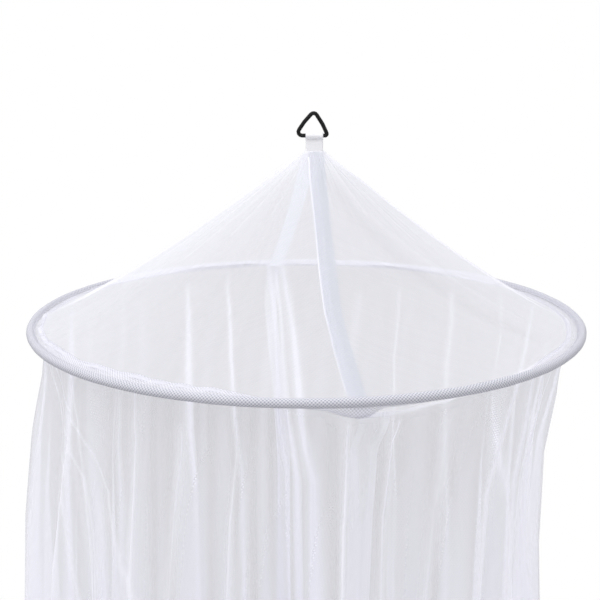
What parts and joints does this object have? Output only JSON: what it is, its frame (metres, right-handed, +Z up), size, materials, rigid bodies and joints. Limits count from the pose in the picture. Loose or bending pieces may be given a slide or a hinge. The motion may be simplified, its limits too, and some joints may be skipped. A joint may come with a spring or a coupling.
{
  "type": "mosquito net canopy with hoop",
  "caption": "Round-hoop bell net: a cone roof of sheer white net over a sleeved hoop, with long folded walls, hung from a black triangle ring.",
  "frame": {"origin": "the hanging point, at the inside top of the triangle ring, where a hook carries the canopy", "axes": "+Z up, -Y is the front with the entry overlap, +X to the right of someone who looks at that front"},
  "size_m": [0.9083, 0.9018, 2.4014],
  "materials": {
    "ring_plastic": "black moulded plastic, semi-gloss",
    "webbing": "white woven webbing",
    "tape": "white woven binding tape",
    "net": "sheer white knitted polyester net",
    "hoop_rod": "pale plastic rod",
    "sleeve_mesh": "coarse white knitted mesh"
  },
  "bodies": {
    "root": {"triangle_ring": "ring_plastic", "hanging_tab": "webbing", "front_tape": "tape", "back_tape": "tape", "roof_left": "net", "roof_right": "net", "hoop": "hoop_rod", "hoop_sleeve": "sleeve_mesh", "wall_left": "net", "wall_right": "net"}
  },
  "joints": []
}
